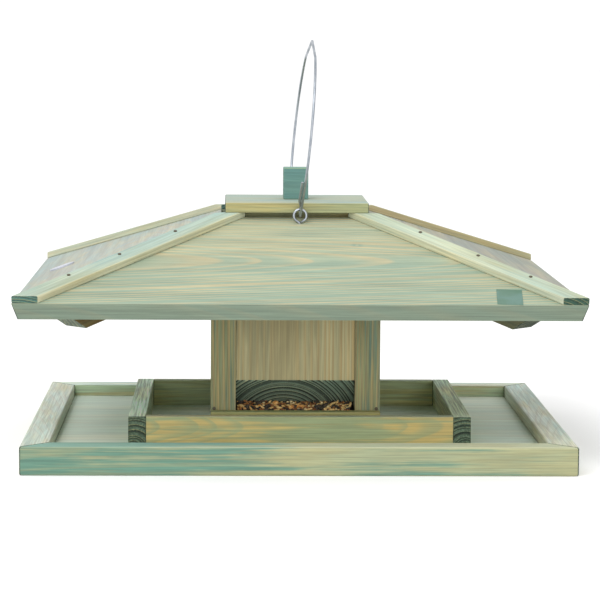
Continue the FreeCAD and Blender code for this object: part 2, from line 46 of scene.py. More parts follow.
print("frame loaded:", len(nodes), "wooden and metal pieces")

xAxis = Vector((1, 0, 0))
yAxis = Vector((0, 1, 0))
zAxis = Vector((0, 0, 1))


# Helpers that build shader nodes.

def newGroup(name, inputs, outputs):
    tree = bpy.data.node_groups.new(name, "ShaderNodeTree")
    for label, kind, value in inputs:
        socket = tree.interface.new_socket(name=label, in_out="INPUT",
                                           socket_type="NodeSocket" + kind)
        socket.default_value = value
    for label, kind in outputs:
        tree.interface.new_socket(name=label, in_out="OUTPUT", socket_type="NodeSocket" + kind)
    return tree, tree.nodes.new("NodeGroupInput").outputs, tree.nodes.new("NodeGroupOutput").inputs


def feed(tree, socket, value):
    if isinstance(value, bpy.types.NodeSocket):
        tree.links.new(value, socket)
    else:
        socket.default_value = value


def calc(tree, operation, *values):
    node = tree.nodes.new("ShaderNodeMath")
    node.operation = operation
    for socket, value in zip(node.inputs, values):
        feed(tree, socket, value)
    return node.outputs[0]


def vectorCalc(tree, operation, *values):
    node = tree.nodes.new("ShaderNodeVectorMath")
    node.operation = operation
    for socket, value in zip(node.inputs, values):
        feed(tree, socket, value)
    return node.outputs["Value" if operation in ("DOT_PRODUCT", "DISTANCE") else "Vector"]


def ramp(tree, value, low, high, start=0.0, end=1.0):
    node = tree.nodes.new("ShaderNodeMapRange")
    node.interpolation_type = "SMOOTHSTEP"
    for label, number in (("Value", value), ("From Min", low), ("From Max", high),
                          ("To Min", start), ("To Max", end)):
        feed(tree, node.inputs[label], number)
    return node.outputs["Result"]


def cloud(tree, place, detail, rough):
    node = tree.nodes.new("ShaderNodeTexNoise")
    feed(tree, node.inputs["Vector"], place)
    node.inputs["Scale"].default_value = 1.0
    node.inputs["Detail"].default_value = detail
    node.inputs["Roughness"].default_value = rough
    return node.outputs["Fac"]


def mixColour(tree, factor, first, second, blend="MIX"):
    node = tree.nodes.new("ShaderNodeMix")
    node.data_type = "RGBA"
    node.blend_type = blend
    feed(tree, node.inputs["Factor"], factor)
    feed(tree, node.inputs[6], first)
    feed(tree, node.inputs[7], second)
    return node.outputs[2]


def stretched(tree, along, across, deep, scales, shift):
    node = tree.nodes.new("ShaderNodeCombineXYZ")
    for socket, value, scale in zip(node.inputs, (along, across, deep), scales):
        feed(tree, socket, calc(tree, "MULTIPLY_ADD", value, scale, shift))
    return node.outputs[0]


# Wood: growth rings round a line that runs with the grain, cut by each board's own faces.

woodPattern = {
    # repeats in a metre along the grain, across it and into the board, then detail, roughness
    "clouds": {
        "bend": ((2.2, 9, 9), 2.0, 0.5), "ripple": ((9, 40, 40), 1.0, 0.5),
        "fibre": ((14, 620, 620), 3.0, 0.6), "streak": ((3.2, 105, 105), 3.0, 0.5),
        "thread": ((8, 270, 270), 3.0, 0.6), "blotch": ((4.5, 20, 20), 4.0, 0.6),
        "patch": ((6.5, 24, 24), 3.0, 0.55), "pores": ((500, 900, 900), 2.0, 0.5)},
    # the values at which each mask starts and ends
    "masks": {
        "ringRise": (0.35, 0.85), "ringDrop": (0.88, 1.0), "ringFade": (0.25, 0.7),
        "ochre": (0.62, 0.86), "green": (0.37, 0.65), "top": (0.55, 0.9),
        "knotSpread": (0.5, 1.8), "knotHeart": (0.25, 0.5), "end": (0.28, 0.4),
        "pores": (0.62, 0.72), "paleLine": (0.03, 0.16), "paleBlotch": (0.35, 0.6),
        "fibreShade": (0.3, 0.72), "streakShade": (0.25, 0.75), "edge": (0.86, 0.97),
        "roughness": (0.2, 0.8)},
    # how strongly one pattern acts on another
    "shares": {
        "ripple": 0.12, "ringNoiseStep": 0.37, "ringNoise": 2.2, "ringFade": 0.35,
        "patchShift": 7.3, "ochreStreak": 0.45, "thread": 1.35, "knot": 0.75,
        "endRing": 0.95, "pores": 0.45, "streakDark": 0.9, "streakLight": 1.08,
        "smoothest": 0.62, "roughest": 0.86,
        "ringHeight": 0.5, "fibreHeight": 0.8, "streakHeight": 0.3}}


def makeWoodGroup():
    tree, given, out = newGroup("softwoodGrain", [
        ("Grain", "Vector", (1, 0, 0)), ("Side", "Vector", (0, 0, 1)),
        ("Pith", "Vector", (0, 0, 0)), ("Shift", "Float", 0.0),
        ("Ring Width", "Float", 0.005), ("Taper", "Float", 0.03), ("Wander", "Float", 0.01),
        ("Ring Strength", "Float", 0.5), ("Fibre Strength", "Float", 0.3),
        ("Light Wood", "Color", (0.5, 0.42, 0.25, 1)), ("Ring Wood", "Color", (0.3, 0.22, 0.1, 1)),
        ("Stain And Shade", "Color", (0.25, 0.35, 0.28, 1)), ("Green Amount", "Float", 0.4),
        ("Ochre Stain", "Color", (0.45, 0.4, 0.18, 1)), ("Ochre Amount", "Float", 0.4),
        ("Green Along", "Float", 0.0), ("Green Across", "Float", 0.0),
        ("Streak Amount", "Float", 0.55), ("Side Rings", "Float", 1.0),
        ("Knot", "Vector", (0, 0, 9)), ("Knot Reach", "Float", 0.005),
        # Top Tint: weather silvering together with painted light from above on the upper faces
        ("Top Tint", "Color", (1.1, 1.2, 1.4, 1)),
        ("End Wood", "Color", (0.1, 0.13, 0.1, 1)), ("End Ring", "Color", (0.3, 0.3, 0.2, 1)),
        ("End Fleck", "Color", (0.3, 0.3, 0.2, 1)),
        ("Edge Wood", "Color", (0.5, 0.5, 0.35, 1)), ("Edge Amount", "Float", 0.3)],
        [("Color", "Color"), ("Roughness", "Float"), ("Height", "Float")])
    coords = tree.nodes.new("ShaderNodeTexCoord")
    place = vectorCalc(tree, "SUBTRACT", coords.outputs["Object"], given["Pith"])
    normal = coords.outputs["Normal"]
    deepAxis = vectorCalc(tree, "CROSS_PRODUCT", given["Grain"], given["Side"])
    along = vectorCalc(tree, "DOT_PRODUCT", place, given["Grain"])
    across = vectorCalc(tree, "DOT_PRODUCT", place, given["Side"])
    deep = vectorCalc(tree, "DOT_PRODUCT", place, deepAxis)
    shift = given["Shift"]
    shares = woodPattern["shares"]

    def times(first, second):
        return calc(tree, "MULTIPLY", first, second)

    def timesPlus(first, second, third):
        return calc(tree, "MULTIPLY_ADD", first, second, third)

    def minus(first, second):
        return calc(tree, "SUBTRACT", first, second)

    def pattern(name, offset=shift):
        scales, detail, rough = woodPattern["clouds"][name]
        return cloud(tree, stretched(tree, along, across, deep, scales, offset), detail, rough)

    def mask(value, name, start=0.0, end=1.0):
        return ramp(tree, value, *woodPattern["masks"][name], start, end)

    def facing(axis):
        return calc(tree, "ABSOLUTE", vectorCalc(tree, "DOT_PRODUCT", normal, axis))

    # the rings, with an uneven spacing
    reach = calc(tree, "SQRT", calc(tree, "ADD", times(across, across), times(deep, deep)))
    reach = timesPlus(along, given["Taper"], reach)
    reach = timesPlus(minus(pattern("bend"), 0.5), given["Wander"], reach)
    reach = timesPlus(minus(pattern("ripple"), 0.5), times(given["Wander"], shares["ripple"]),
                      reach)
    rings = calc(tree, "DIVIDE", reach, given["Ring Width"])
    ringNoise = tree.nodes.new("ShaderNodeTexNoise")
    ringNoise.noise_dimensions = "1D"
    feed(tree, ringNoise.inputs["W"], timesPlus(rings, shares["ringNoiseStep"], shift))
    ringNoise.inputs["Scale"].default_value = 1.0
    rings = timesPlus(ringNoise.outputs["Fac"], shares["ringNoise"], rings)
    part = calc(tree, "FRACT", rings)
    lateWood = times(mask(part, "ringRise"), mask(part, "ringDrop", 1.0, 0.0))

    # ochre and green stain, in streaks and blotches that are long with the grain; on the hopper's
    # wall the same colour, rising along the grain, is also painted shade from the roof
    fibre = pattern("fibre")
    streak = pattern("streak")
    blotch = pattern("blotch")
    patch = pattern("patch", calc(tree, "ADD", shift, shares["patchShift"]))
    ochreMask = mask(timesPlus(streak, shares["ochreStreak"], patch), "ochre")
    face = mixColour(tree, times(ochreMask, given["Ochre Amount"]),
                     given["Light Wood"], given["Ochre Stain"])
    drift = timesPlus(along, given["Green Along"], times(across, given["Green Across"]))
    streaks = timesPlus(minus(pattern("thread"), 0.5), shares["thread"], minus(streak, 0.5))
    greenMask = mask(timesPlus(streaks, given["Streak Amount"],
                               calc(tree, "ADD", blotch, drift)), "green")
    face = mixColour(tree, times(greenMask, given["Green Amount"]), face, given["Stain And Shade"])

    # the knot and the rings on top of the stain
    height = tree.nodes.new("ShaderNodeSeparateXYZ")
    feed(tree, height.inputs[0], normal)
    topMask = mask(height.outputs["Z"], "top")
    ringFade = mask(blotch, "ringFade", 1.0, shares["ringFade"])
    ringMask = times(times(lateWood, ringFade), given["Ring Strength"])
    ringMask = times(ringMask, ramp(tree, topMask, 0.0, 1.0, given["Side Rings"], 1.0))
    knotGap = vectorCalc(tree, "DISTANCE", coords.outputs["Object"], given["Knot"])
    knotGap = calc(tree, "DIVIDE", knotGap, given["Knot Reach"])
    knotMask = times(mask(knotGap, "knotSpread", 1.0, 0.0), mask(knotGap, "knotHeart"))
    face = mixColour(tree, times(knotMask, shares["knot"]), face, given["Stain And Shade"])
    face = mixColour(tree, ringMask, face, given["Ring Wood"])

    # the upper faces, silvered by weather and tinted with painted light from above, and the dark
    # ends where the stain soaked in
    silveredAndLitTop = mixColour(tree, 1.0, face, given["Top Tint"], "MULTIPLY")
    face = mixColour(tree, topMask, face, silveredAndLitTop)
    ending = facing(given["Grain"])
    endMask = mask(ending, "end")
    endFace = mixColour(tree, times(lateWood, shares["endRing"]),
                        given["End Wood"], given["End Ring"])
    paleLine = times(mask(part, "paleLine", 1.0, 0.0), mask(blotch, "paleBlotch"))
    pores = times(mask(pattern("pores"), "pores"), shares["pores"])
    endFace = mixColour(tree, calc(tree, "MAXIMUM", pores, paleLine), endFace,
                        given["End Fleck"])
    face = mixColour(tree, endMask, face, endFace)

    # fibres and streaks change the brightness
    dim = times(minus(mask(fibre, "fibreShade"), 0.5), given["Fibre Strength"])
    shade = times(calc(tree, "ADD", 1.0, dim),
                  mask(streak, "streakShade", shares["streakDark"], shares["streakLight"]))
    tone = tree.nodes.new("ShaderNodeCombineXYZ")
    for socket in tone.inputs:
        feed(tree, socket, shade)
    face = mixColour(tree, 1.0, face, tone.outputs[0], "MULTIPLY")

    # worn edges, lightened partly by wear and partly as a painted highlight, are where no face of
    # the board is square to the normal
    flat = calc(tree, "MAXIMUM", facing(given["Side"]), facing(deepAxis))
    flat = calc(tree, "MAXIMUM", flat, ending)
    edge = times(mask(flat, "edge", 1.0, 0.0), given["Edge Amount"])
    edge = times(edge, minus(1.0, endMask))
    feed(tree, out["Color"], mixColour(tree, edge, face, given["Edge Wood"]))

    feed(tree, out["Roughness"],
         mask(fibre, "roughness", shares["smoothest"], shares["roughest"]))
    grooves = timesPlus(lateWood, shares["ringHeight"], times(fibre, shares["fibreHeight"]))
    feed(tree, out["Height"], timesPlus(streak, shares["streakHeight"], grooves))
    return tree


woodGroup = makeWoodGroup()

treatedPine = {  # the finish that every board starts from
    "Light Wood": (0.40, 0.41, 0.25), "Ring Wood": (0.42, 0.34, 0.17),
    "Stain And Shade": (0.19, 0.31, 0.24), "Green Amount": 0.7,
    "Ochre Stain": (0.42, 0.36, 0.17), "Ochre Amount": 0.6,
    "Top Tint": (1.13, 1.16, 1.5), "Green Along": 0.0, "Green Across": 0.0,
    "Streak Amount": 0.55, "Side Rings": 1.0,
    "End Wood": (0.07, 0.11, 0.08), "End Ring": (0.012, 0.02, 0.015),
    "End Fleck": (0.30, 0.28, 0.13), "Ring Width": 0.0045, "Taper": 0.03, "Wander": 0.01,
    "Ring Strength": 0.6, "Fibre Strength": 0.4,
    "Edge Wood": (0.45, 0.47, 0.33), "Edge Amount": 0.35, "bump": 0.4}
bumpDepth = {"wood": 0.0006, "mottle": 0.0003}
edgeRounding = {"weldGap": 0.00002, "flatAngle": 1, "cornerAngle": 25, "segments": 3}


def asColour(value):
    return (*value, 1.0)


def woodFinish(name, grain, side, pith, shift, **changes):
    looks = dict(treatedPine, **changes)
    material = bpy.data.materials.new(name)
    material.use_nodes = True
    tree = material.node_tree
    shader = tree.nodes["Principled BSDF"]
    grainNode = tree.nodes.new("ShaderNodeGroup")
    grainNode.node_tree = woodGroup
    bump = tree.nodes.new("ShaderNodeBump")
    bump.inputs["Strength"].default_value = looks.pop("bump")
    bump.inputs["Distance"].default_value = bumpDepth["wood"]
    for label, value in (("Grain", grain), ("Side", side), ("Pith", pith), ("Shift", shift)):
        grainNode.inputs[label].default_value = value
    for label, value in looks.items():
        grainNode.inputs[label].default_value = (
            asColour(value) if isinstance(value, tuple) else value)
    tree.links.new(grainNode.outputs["Color"], shader.inputs["Base Color"])
    tree.links.new(grainNode.outputs["Roughness"], shader.inputs["Roughness"])
    tree.links.new(grainNode.outputs["Height"], bump.inputs["Height"])
    tree.links.new(bump.outputs["Normal"], shader.inputs["Normal"])
    shader.inputs["Specular IOR Level"].default_value = 0.3
    return material


def setMaterial(piece, material):
    piece.data.materials.clear()
    piece.data.materials.append(material)


def roundEdges(piece, width):
    weld = piece.modifiers.new("weld", "WELD")
    weld.merge_threshold = edgeRounding["weldGap"]
    flats = piece.modifiers.new("flats", "DECIMATE")
    flats.decimate_type = "DISSOLVE"
    flats.angle_limit = math.radians(edgeRounding["flatAngle"])
    rounding = piece.modifiers.new("rounding", "BEVEL")
    rounding.width = width
    rounding.segments = edgeRounding["segments"]
    rounding.limit_method = "ANGLE"
    rounding.angle_limit = math.radians(edgeRounding["cornerAngle"])


def board(label, grain, side, pith, shift, rounding=0.001, **changes):
    low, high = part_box(label)
    centre = (low + high) / 2 + Vector(pith)  # a point on the line that the rings go round
    setMaterial(nodes[label], woodFinish(label + "_wood", grain, side, centre, shift, **changes))
    roundEdges(nodes[label], rounding)


# Outer tray.

trayLooks = {
    "front": {"Light Wood": (0.32, 0.35, 0.215), "Stain And Shade": (0.115, 0.237, 0.18),
        "Ring Wood": (0.365, 0.34, 0.179), "Green Amount": 0.95, "Green Along": -0.75,
        "Ochre Stain": (0.384, 0.35, 0.179), "Top Tint": (1.5, 1.5, 1.7), "Ring Width": 0.0040,
        "Taper": 0.012, "Ring Strength": 0.45, "Streak Amount": 0.6, "Fibre Strength": 0.3,
        "Ochre Amount": 0.45},
    "sides": {"Light Wood": (0.52, 0.55, 0.43), "Stain And Shade": (0.391, 0.494, 0.414),
        "Ring Wood": (0.48, 0.45, 0.33), "Top Tint": (1.2, 1.24, 1.4), "Taper": 0.07,
        "Ring Width": 0.004, "Ring Strength": 0.6, "Streak Amount": 0.3},
    "back": {"Light Wood": (0.728, 0.742, 0.465), "Ring Wood": (0.392, 0.504, 0.3),
        "Stain And Shade": (0.448, 0.63, 0.465), "Top Tint": (1.3, 1.3, 1.7)},
    "floor": {"Light Wood": (0.56, 0.627, 0.526), "Ring Wood": (0.515, 0.56, 0.448),
        "Stain And Shade": (0.47, 0.582, 0.504), "Ochre Stain": (0.627, 0.571, 0.426),
        "Ochre Amount": 0.3, "Top Tint": (1.2, 1.2, 1.2), "Ring Strength": 0.35,
        "Fibre Strength": 0.2, "Streak Amount": 0.3}}

board("tray_front_rail", xAxis, zAxis, pith=(0, 0.03, 0.012), shift=1.3, rounding=0.002,
      **trayLooks["front"])
board("tray_back_rail", xAxis, zAxis, pith=(0, 0.03, -0.02), shift=4.1, **trayLooks["back"])
for way, label in ((-1, "tray_left_rail"), (1, "tray_right_rail")):
    board(label, yAxis, zAxis, pith=(way * 0.02, 0, -0.03), shift=6.0 + way, rounding=0.0018,
          **trayLooks["sides"])
board("tray_floor", xAxis, yAxis, pith=(0, 0.05, -0.06), shift=9.2, **trayLooks["floor"])
print("outer tray finished")


# Inner tray and the sills at the posts' feet.

innerLooks = {
    "front": {"Light Wood": (0.552, 0.437, 0.182), "Ring Wood": (0.312, 0.368, 0.209),
        "Stain And Shade": (0.228, 0.333, 0.209), "Ochre Stain": (0.624, 0.46, 0.154), "Taper": 0.11,
        "Green Amount": 0.75, "Green Along": -0.25, "Ring Strength": 0.8, "Ring Width": 0.0045,
        "Streak Amount": 0.6, "Ochre Amount": 0.3, "Fibre Strength": 0.3},
    "back": {"Light Wood": (0.54, 0.54, 0.255), "Ring Wood": (0.3, 0.3, 0.15),
        "Stain And Shade": (0.36, 0.48, 0.315), "Ochre Stain": (0.57, 0.495, 0.195)},
    "ends": {"Light Wood": (0.47, 0.57, 0.40), "Stain And Shade": (0.28, 0.41, 0.31),
        "Ring Wood": (0.43, 0.48, 0.35), "Top Tint": (1.4, 1.45, 1.55), "Green Amount": 0.4,
        "Fibre Strength": 0.8, "Ring Strength": 0.25, "Streak Amount": 0.25,
        "End Wood": (0.10, 0.15, 0.10)},
    "sill": {"Light Wood": (0.442, 0.338, 0.108), "Ring Wood": (0.26, 0.286, 0.12),
        "Stain And Shade": (0.208, 0.26, 0.12), "Top Tint": (1.0, 1.1, 1.2)}}
# the left rail's top is painted lighter than the right's: painted light falling from the left
innerLooks["left"] = dict(innerLooks["ends"], **{"Top Tint": (1.75, 1.82, 2.1)})
innerLooks["right"] = innerLooks["ends"]

for way, end in ((-1, "front"), (1, "back")):
    board("inner_" + end + "_rail", xAxis, zAxis, pith=(-0.06, 0.026 * -way, 0.004),
          shift=12.0 + way, **innerLooks[end])
    board(end + "_sill", xAxis, zAxis, pith=(0, 0.02, 0.01), shift=18.2 + way,
          rounding=0.0007, **innerLooks["sill"])
for way, side in ((-1, "left"), (1, "right")):
    board("inner_" + side + "_rail", yAxis, zAxis, pith=(way * 0.004, 0, -0.02),
          shift=15.5 + way, **innerLooks[side])
print("inner tray finished")


# Seed hopper.

hopperLooks = {
    "post": {"Light Wood": (0.241, 0.264, 0.144), "Ring Wood": (0.38, 0.288, 0.132),
        "Stain And Shade": (0.138, 0.222, 0.172), "Green Amount": 0.9, "Ring Width": 0.0036,
        "Ochre Stain": (0.345, 0.3, 0.127), "Ring Strength": 1.0, "Taper": 0.004,
        "Wander": 0.004, "Streak Amount": 0.8, "Fibre Strength": 0.5},
    # the wall darkens towards its top: painted shade from the roof, carried by the stain colour
    # and its rise along the grain
    "wall": {"Light Wood": (0.452, 0.418, 0.24), "Ring Wood": (0.429, 0.29, 0.12),
        "Stain And Shade": (0.27, 0.25, 0.14), "Green Amount": 0.75,
        "Ochre Stain": (0.497, 0.435, 0.246), "Ring Width": 0.0036, "Fibre Strength": 0.3,
        "End Wood": (0.185, 0.26, 0.195), "End Ring": (0.006, 0.009, 0.007),
        "End Fleck": (0.494, 0.494, 0.304), "Taper": 0.002, "Wander": 0.003,
        "Ring Strength": 0.75, "Streak Amount": 0.35, "Green Along": 2.6},
    "side": {"Light Wood": (0.36, 0.34, 0.2), "Green Amount": 0.6}}

for end, front in ((-1, "front"), (1, "back")):
    for way, side in ((-1, "left"), (1, "right")):
        board(front + "_" + side + "_post", zAxis, xAxis, pith=(way * 0.03, end * -0.02, 0),
              shift=21.0 + way + 3 * end, **hopperLooks["post"])
    board("hopper_" + front + "_board", zAxis, xAxis, pith=(-0.013, 0.05, 0),
          shift=31.0 + end, **hopperLooks["wall"])
for way, side in ((-1, "left"), (1, "right")):
    board("hopper_" + side + "_board", zAxis, yAxis, pith=(way * 0.03, 0.01, 0),
          shift=35.0 + way, **hopperLooks["side"])
print("hopper finished")


# Roof: four boards, the battens over its hips and the rafters under them.

frontRise = math.radians(20.67)
sideRise = math.radians(19.4)
hipPlan = math.radians(43.0)  # the hips' direction, seen from above
roofLooks = {
    "front": {"Streak Amount": 0.1, "Side Rings": 0.2, "Light Wood": (0.222, 0.256, 0.178),
        "Ring Wood": (0.345, 0.275, 0.155), "Stain And Shade": (0.153, 0.211, 0.162),
        "Green Amount": 0.75, "Green Across": -1.9, "Ochre Stain": (0.307, 0.282, 0.162),
        "Ochre Amount": 0.25, "Top Tint": (1.5, 1.5, 1.52), "Taper": 0.075, "Ring Width": 0.0055,
        "Wander": 0.005, "Ring Strength": 0.85, "Fibre Strength": 0.3},
    "left": {"Streak Amount": 0.25, "Light Wood": (0.261, 0.274, 0.24),
        "Ring Wood": (0.3, 0.257, 0.187), "Stain And Shade": (0.205, 0.274, 0.267),
        "Green Across": -0.5, "Top Tint": (1.4, 1.42, 1.46), "Taper": 0.12, "Ring Width": 0.006,
        "Ring Strength": 0.6, "Fibre Strength": 0.2, "Ochre Amount": 0.3},
    # the right board is the left board's finish painted darker: painted shade on the side turned
    # away from the light
    "right": {"Streak Amount": 0.25, "Light Wood": (0.213, 0.217, 0.185),
        "Ring Wood": (0.269, 0.221, 0.16), "Stain And Shade": (0.158, 0.193, 0.168),
        "Green Across": -0.5, "Top Tint": (1.4, 1.42, 1.46), "Taper": 0.12, "Ring Width": 0.006,
        "Ring Strength": 0.6, "Fibre Strength": 0.2, "Ochre Amount": 0.3},
    "batten": {"Light Wood": (0.475, 0.465, 0.323), "Ring Wood": (0.494, 0.427, 0.255),
        "Stain And Shade": (0.361, 0.446, 0.363), "Top Tint": (0.93, 1.03, 1.14),
        "End Wood": (0.065, 0.14, 0.115), "End Ring": (0.038, 0.065, 0.054), "Ring Width": 0.004,
        "Green Amount": 0.6, "Fibre Strength": 0.3, "Streak Amount": 0.3},
    "front left": {"Light Wood": (0.57, 0.57, 0.40), "Top Tint": (0.74, 0.90, 1.08),
        "Ring Wood": (0.58, 0.55, 0.38), "End Wood": (0.07, 0.17, 0.14)},
    "front right": {"Light Wood": (0.56, 0.56, 0.39), "Ring Wood": (0.58, 0.53, 0.34),
        "Top Tint": (0.85, 0.95, 1.02), "End Wood": (0.035, 0.085, 0.06),
        "End Ring": (0.02, 0.05, 0.035)},
    "back right": {"Light Wood": (0.39, 0.33, 0.18), "Ring Wood": (0.38, 0.29, 0.13),
        "Stain And Shade": (0.31, 0.33, 0.2)},
    "leftRafter": {"Light Wood": (0.15, 0.085, 0.02), "Ring Wood": (0.10, 0.06, 0.02),
        "Stain And Shade": (0.12, 0.11, 0.05), "Ochre Stain": (0.2, 0.11, 0.025),
        "End Wood": (0.16, 0.20, 0.155), "End Ring": (0.10, 0.12, 0.09)},
    "rightRafter": {"Light Wood": (0.13, 0.14, 0.08), "Ring Wood": (0.09, 0.09, 0.05),
        "Stain And Shade": (0.09, 0.12, 0.08), "Ochre Stain": (0.15, 0.13, 0.06),
        "End Wood": (0.045, 0.065, 0.045), "End Ring": (0.02, 0.03, 0.02)}}

frontKnot = Vector((0.0642, -0.1279, 0.2341))
for end, label in ((-1, "roof_front_panel"), (1, "roof_back_panel")):
    slope = Vector((0, -end * math.cos(frontRise), math.sin(frontRise)))
    board(label, xAxis * -end, slope, pith=slope * 0.004 + Vector((0.05, 0, -0.026)),
          shift=40.0 + end, Knot=frontKnot, **roofLooks["front"])
for way, side in ((-1, "left"), (1, "right")):
    slope = Vector((-way * math.cos(sideRise), 0, math.sin(sideRise)))
    board("roof_" + side + "_panel", yAxis, slope, pith=slope * 0.02 + Vector((0, 0.1, -0.05)),
          shift=44.0 + way, **roofLooks[side])
for end, front in ((-1, "front"), (1, "back")):
    for way, side in ((-1, "left"), (1, "right")):
        hip = Vector((-way * math.cos(hipPlan), -end * math.sin(hipPlan),
                      math.tan(sideRise) * math.cos(hipPlan))).normalized()
        flat = zAxis.cross(hip).normalized()
        looks = dict(roofLooks["batten"], **roofLooks.get(front + " " + side, {}))
        board(front + "_" + side + "_batten", hip, flat, pith=flat * 0.012 - zAxis * 0.03,
              shift=50.0 + way + 3 * end, rounding=0.0012, **looks)
        board(front + "_" + side + "_rafter", hip, flat, pith=flat * 0.03 + zAxis * 0.02,
              shift=60.0 + way + 3 * end, **roofLooks[side + "Rafter"])
print("roof finished")


# Ridge lid.

lidLooks = {
    "board": {"Light Wood": (0.396, 0.35, 0.156), "Ring Wood": (0.313, 0.322, 0.166),
        "Stain And Shade": (0.221, 0.294, 0.184), "Ochre Stain": (0.423, 0.34, 0.12),
        "Top Tint": (1.0, 1.2, 2.0), "Green Amount": 0.55},
    "knob": {"Light Wood": (0.125, 0.237, 0.213), "Ring Wood": (0.156, 0.253, 0.196),
        "Stain And Shade": (0.094, 0.209, 0.196), "Ochre Stain": (0.208, 0.297, 0.161),
        "Ochre Amount": 0.2, "Ring Strength": 0.15, "Edge Wood": (0.312, 0.396, 0.172),
        "Edge Amount": 0.7, "Top Tint": (1.4, 1.3, 1.2), "Ring Width": 0.003,
        "End Wood": (0.146, 0.264, 0.23), "End Ring": (0.083, 0.176, 0.161),
        "Fibre Strength": 0.15, "Streak Amount": 0.15}}

board("lid_board", xAxis, yAxis, pith=(0, 0.03, -0.05), shift=71.0, rounding=0.0014,
      **lidLooks["board"])
board("lid_knob", xAxis, zAxis, pith=(0, 0.03, -0.05), shift=73.0, rounding=0.0014,
      **lidLooks["knob"])
for end, front in ((-1, "front"), (1, "back")):
    board("lid_" + front + "_cleat", xAxis, zAxis, pith=(0, 0.02, 0.01), shift=75.0 + end,
          **lidLooks["board"])
print("lid finished")


# Metal and plastic.

def plainFinish(name, colour, roughness, metallic=0.0):
    material = bpy.data.materials.new(name)
    material.use_nodes = True
    shader = material.node_tree.nodes["Principled BSDF"]
    shader.inputs["Base Color"].default_value = asColour(colour)
    shader.inputs["Roughness"].default_value = roughness
    shader.inputs["Metallic"].default_value = metallic
    return material, shader


def makeMottleGroup():
    tree, given, out = newGroup("mottle", [
        ("Scale", "Float", 300.0), ("First", "Color", (0.6, 0.6, 0.6, 1)),
        ("Second", "Color", (0.4, 0.4, 0.4, 1)), ("Low", "Float", 0.4), ("High", "Float", 0.6)],
        [("Color", "Color"), ("Mask", "Float")])
    coords = tree.nodes.new("ShaderNodeTexCoord")
    place = vectorCalc(tree, "SCALE", coords.outputs["Object"])
    feed(tree, place.node.inputs["Scale"], given["Scale"])
    mask = ramp(tree, cloud(tree, place, 3.0, 0.6), given["Low"], given["High"])
    feed(tree, out["Color"], mixColour(tree, mask, given["First"], given["Second"]))
    feed(tree, out["Mask"], mask)
    return tree


mottleGroup = makeMottleGroup()

metalLooks = {
    "zinc_wire": {"first": (0.40, 0.43, 0.47), "second": (0.30, 0.33, 0.37), "scale": 60,
                  "smooth": 0.3, "rough": 0.36, "metallic": 1.0, "bump": 0.0},
    "nail_steel": {"first": (0.09, 0.08, 0.06), "second": (0.15, 0.12, 0.08), "scale": 900,
                   "smooth": 0.5, "rough": 0.85, "metallic": 0.6, "bump": 0.3},
    "label_plastic": {"first": (0.08, 0.17, 0.12), "second": (0.115, 0.21, 0.175), "scale": 40,
                      "smooth": 0.42, "rough": 0.6, "metallic": 0.0, "bump": 0.05},
    "tag_plastic": {"first": (0.48, 0.50, 0.58), "second": (0.42, 0.45, 0.50), "scale": 150,
                    "smooth": 0.35, "rough": 0.55, "metallic": 0.0, "bump": 0.05}}


def mottledFinish(name, looks):
    material, shader = plainFinish(name, looks["first"], looks["rough"], looks["metallic"])
    tree = material.node_tree
    group = tree.nodes.new("ShaderNodeGroup")
    group.node_tree = mottleGroup
    group.inputs["Scale"].default_value = looks["scale"]
    group.inputs["First"].default_value = asColour(looks["first"])
    group.inputs["Second"].default_value = asColour(looks["second"])
    bump = tree.nodes.new("ShaderNodeBump")
    bump.inputs["Strength"].default_value = looks["bump"]
    bump.inputs["Distance"].default_value = bumpDepth["mottle"]
    tree.links.new(group.outputs["Color"], shader.inputs["Base Color"])
    tree.links.new(ramp(tree, group.outputs["Mask"], 0, 1, looks["smooth"], looks["rough"]),
                   shader.inputs["Roughness"])
    tree.links.new(group.outputs["Mask"], bump.inputs["Height"])
    tree.links.new(bump.outputs["Normal"], shader.inputs["Normal"])
    return material


finishes = {name: mottledFinish(name, looks) for name, looks in metalLooks.items()}
setMaterial(nodes["bail_wire"], finishes["zinc_wire"])
nodes["bail_wire"].data.shade_smooth()

eyeLooks = {"radius": 0.00695, "wire": 0.00145, "sides": 14, "steps": 44, "opening": 46,
            "turn": 3.2, "pinch": 0.0009, "neckPinch": 0.4, "neckDrop": 3}


def tubeMesh(name, path, radius, sides):
    verts = []
    across = yAxis
    for index, point in enumerate(path):
        ahead = path[min(index + 1, len(path) - 1)] - path[max(index - 1, 0)]
        ahead.normalize()
        across = (across - ahead * across.dot(ahead)).normalized()
        up = ahead.cross(across)
        for side in range(sides):
            angle = math.tau * side / sides
            verts.append(point + (across * math.cos(angle) + up * math.sin(angle)) * radius)
    faces = []
    for ring in range(len(path) - 1):
        for side in range(sides):
            after = (side + 1) % sides
            faces.append((ring * sides + side, ring * sides + after,
                          (ring + 1) * sides + after, (ring + 1) * sides + side))
    faces.append(tuple(reversed(range(sides))))
    faces.append(tuple((len(path) - 1) * sides + side for side in range(sides)))
    mesh = bpy.data.meshes.new(name)
    mesh.from_pydata(verts, [], faces)
    mesh.shade_smooth()
    return mesh


